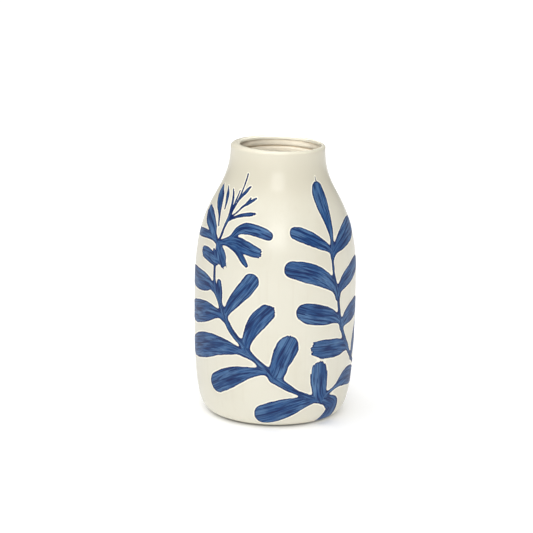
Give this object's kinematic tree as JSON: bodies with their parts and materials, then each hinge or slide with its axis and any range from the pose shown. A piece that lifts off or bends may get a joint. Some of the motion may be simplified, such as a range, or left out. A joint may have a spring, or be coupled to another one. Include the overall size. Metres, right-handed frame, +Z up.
{
  "type": "talavera vase",
  "caption": "Tall shouldered pottery vase with a short open neck, cream glaze inside and out, and raised cobalt brush strokes of leafy fronds and a flower.",
  "frame": {"origin": "centre of the foot ring, on the surface that the vase stands on", "axes": "+Z up along the turning axis; the painted front faces -Y, with +X to its right"},
  "size_m": [0.1513, 0.1511, 0.2547],
  "materials": {
    "bare_clay": "matte, fine grained",
    "cream_glaze": "satin",
    "lining_glaze": "satin",
    "cobalt": "satin, streaked by the brush"
  },
  "bodies": {
    "root": {"back_left_frond_leaf_left_1": "cobalt", "back_left_frond_leaf_left_2": "cobalt", "back_left_frond_leaf_left_3": "cobalt", "back_left_frond_leaf_left_4": "cobalt", "back_left_frond_leaf_right_1": "cobalt", "back_left_frond_leaf_right_2": "cobalt", "back_left_frond_leaf_right_3": "cobalt", "back_left_frond_leaf_right_4": "cobalt", "back_left_frond_leaf_top": "cobalt", "back_left_frond_stem": "cobalt", "back_right_frond_leaf_left_1": "cobalt", "back_right_frond_leaf_left_2": "cobalt", "back_right_frond_leaf_left_3": "cobalt", "back_right_frond_leaf_left_4": "cobalt", "back_right_frond_leaf_right_1": "cobalt", "back_right_frond_leaf_right_2": "cobalt", "back_right_frond_leaf_right_3": "cobalt", "back_right_frond_leaf_right_4": "cobalt", "back_right_frond_leaf_top": "cobalt", "back_right_frond_stem": "cobalt", "base_leaf_down": "cobalt", "base_leaf_left": "cobalt", "base_leaf_right": "cobalt", "base_leaf_up": "cobalt", "clay_body": "bare_clay", "flower_leaf_left_1": "cobalt", "flower_leaf_left_2": "cobalt", "flower_leaf_left_3": "cobalt", "flower_leaf_left_4": "cobalt", "flower_leaf_right_1": "cobalt", "flower_leaf_right_2": "cobalt", "flower_leaf_right_3": "cobalt", "flower_leaf_right_4": "cobalt", "flower_stem": "cobalt", "frond_leaf_left_1": "cobalt", "frond_leaf_left_2": "cobalt", "frond_leaf_left_3": "cobalt", "frond_leaf_left_4": "cobalt", "frond_leaf_right_1": "cobalt", "frond_leaf_right_2": "cobalt", "frond_leaf_right_3": "cobalt", "frond_leaf_right_4": "cobalt", "frond_leaf_top": "cobalt", "frond_stem": "cobalt", "lining_glaze": "lining_glaze", "outer_glaze": "cream_glaze", "petal_inner_right": "cobalt", "petal_left": "cobalt", "petal_lower_left": "cobalt", "petal_lower_right": "cobalt", "petal_right": "cobalt", "petal_upper_left": "cobalt", "petal_upper_right": "cobalt", "stamen_far_left": "cobalt", "stamen_left": "cobalt", "stamen_right_high": "cobalt", "stamen_right_low": "cobalt", "stamen_trunk": "cobalt"}
  },
  "joints": []
}
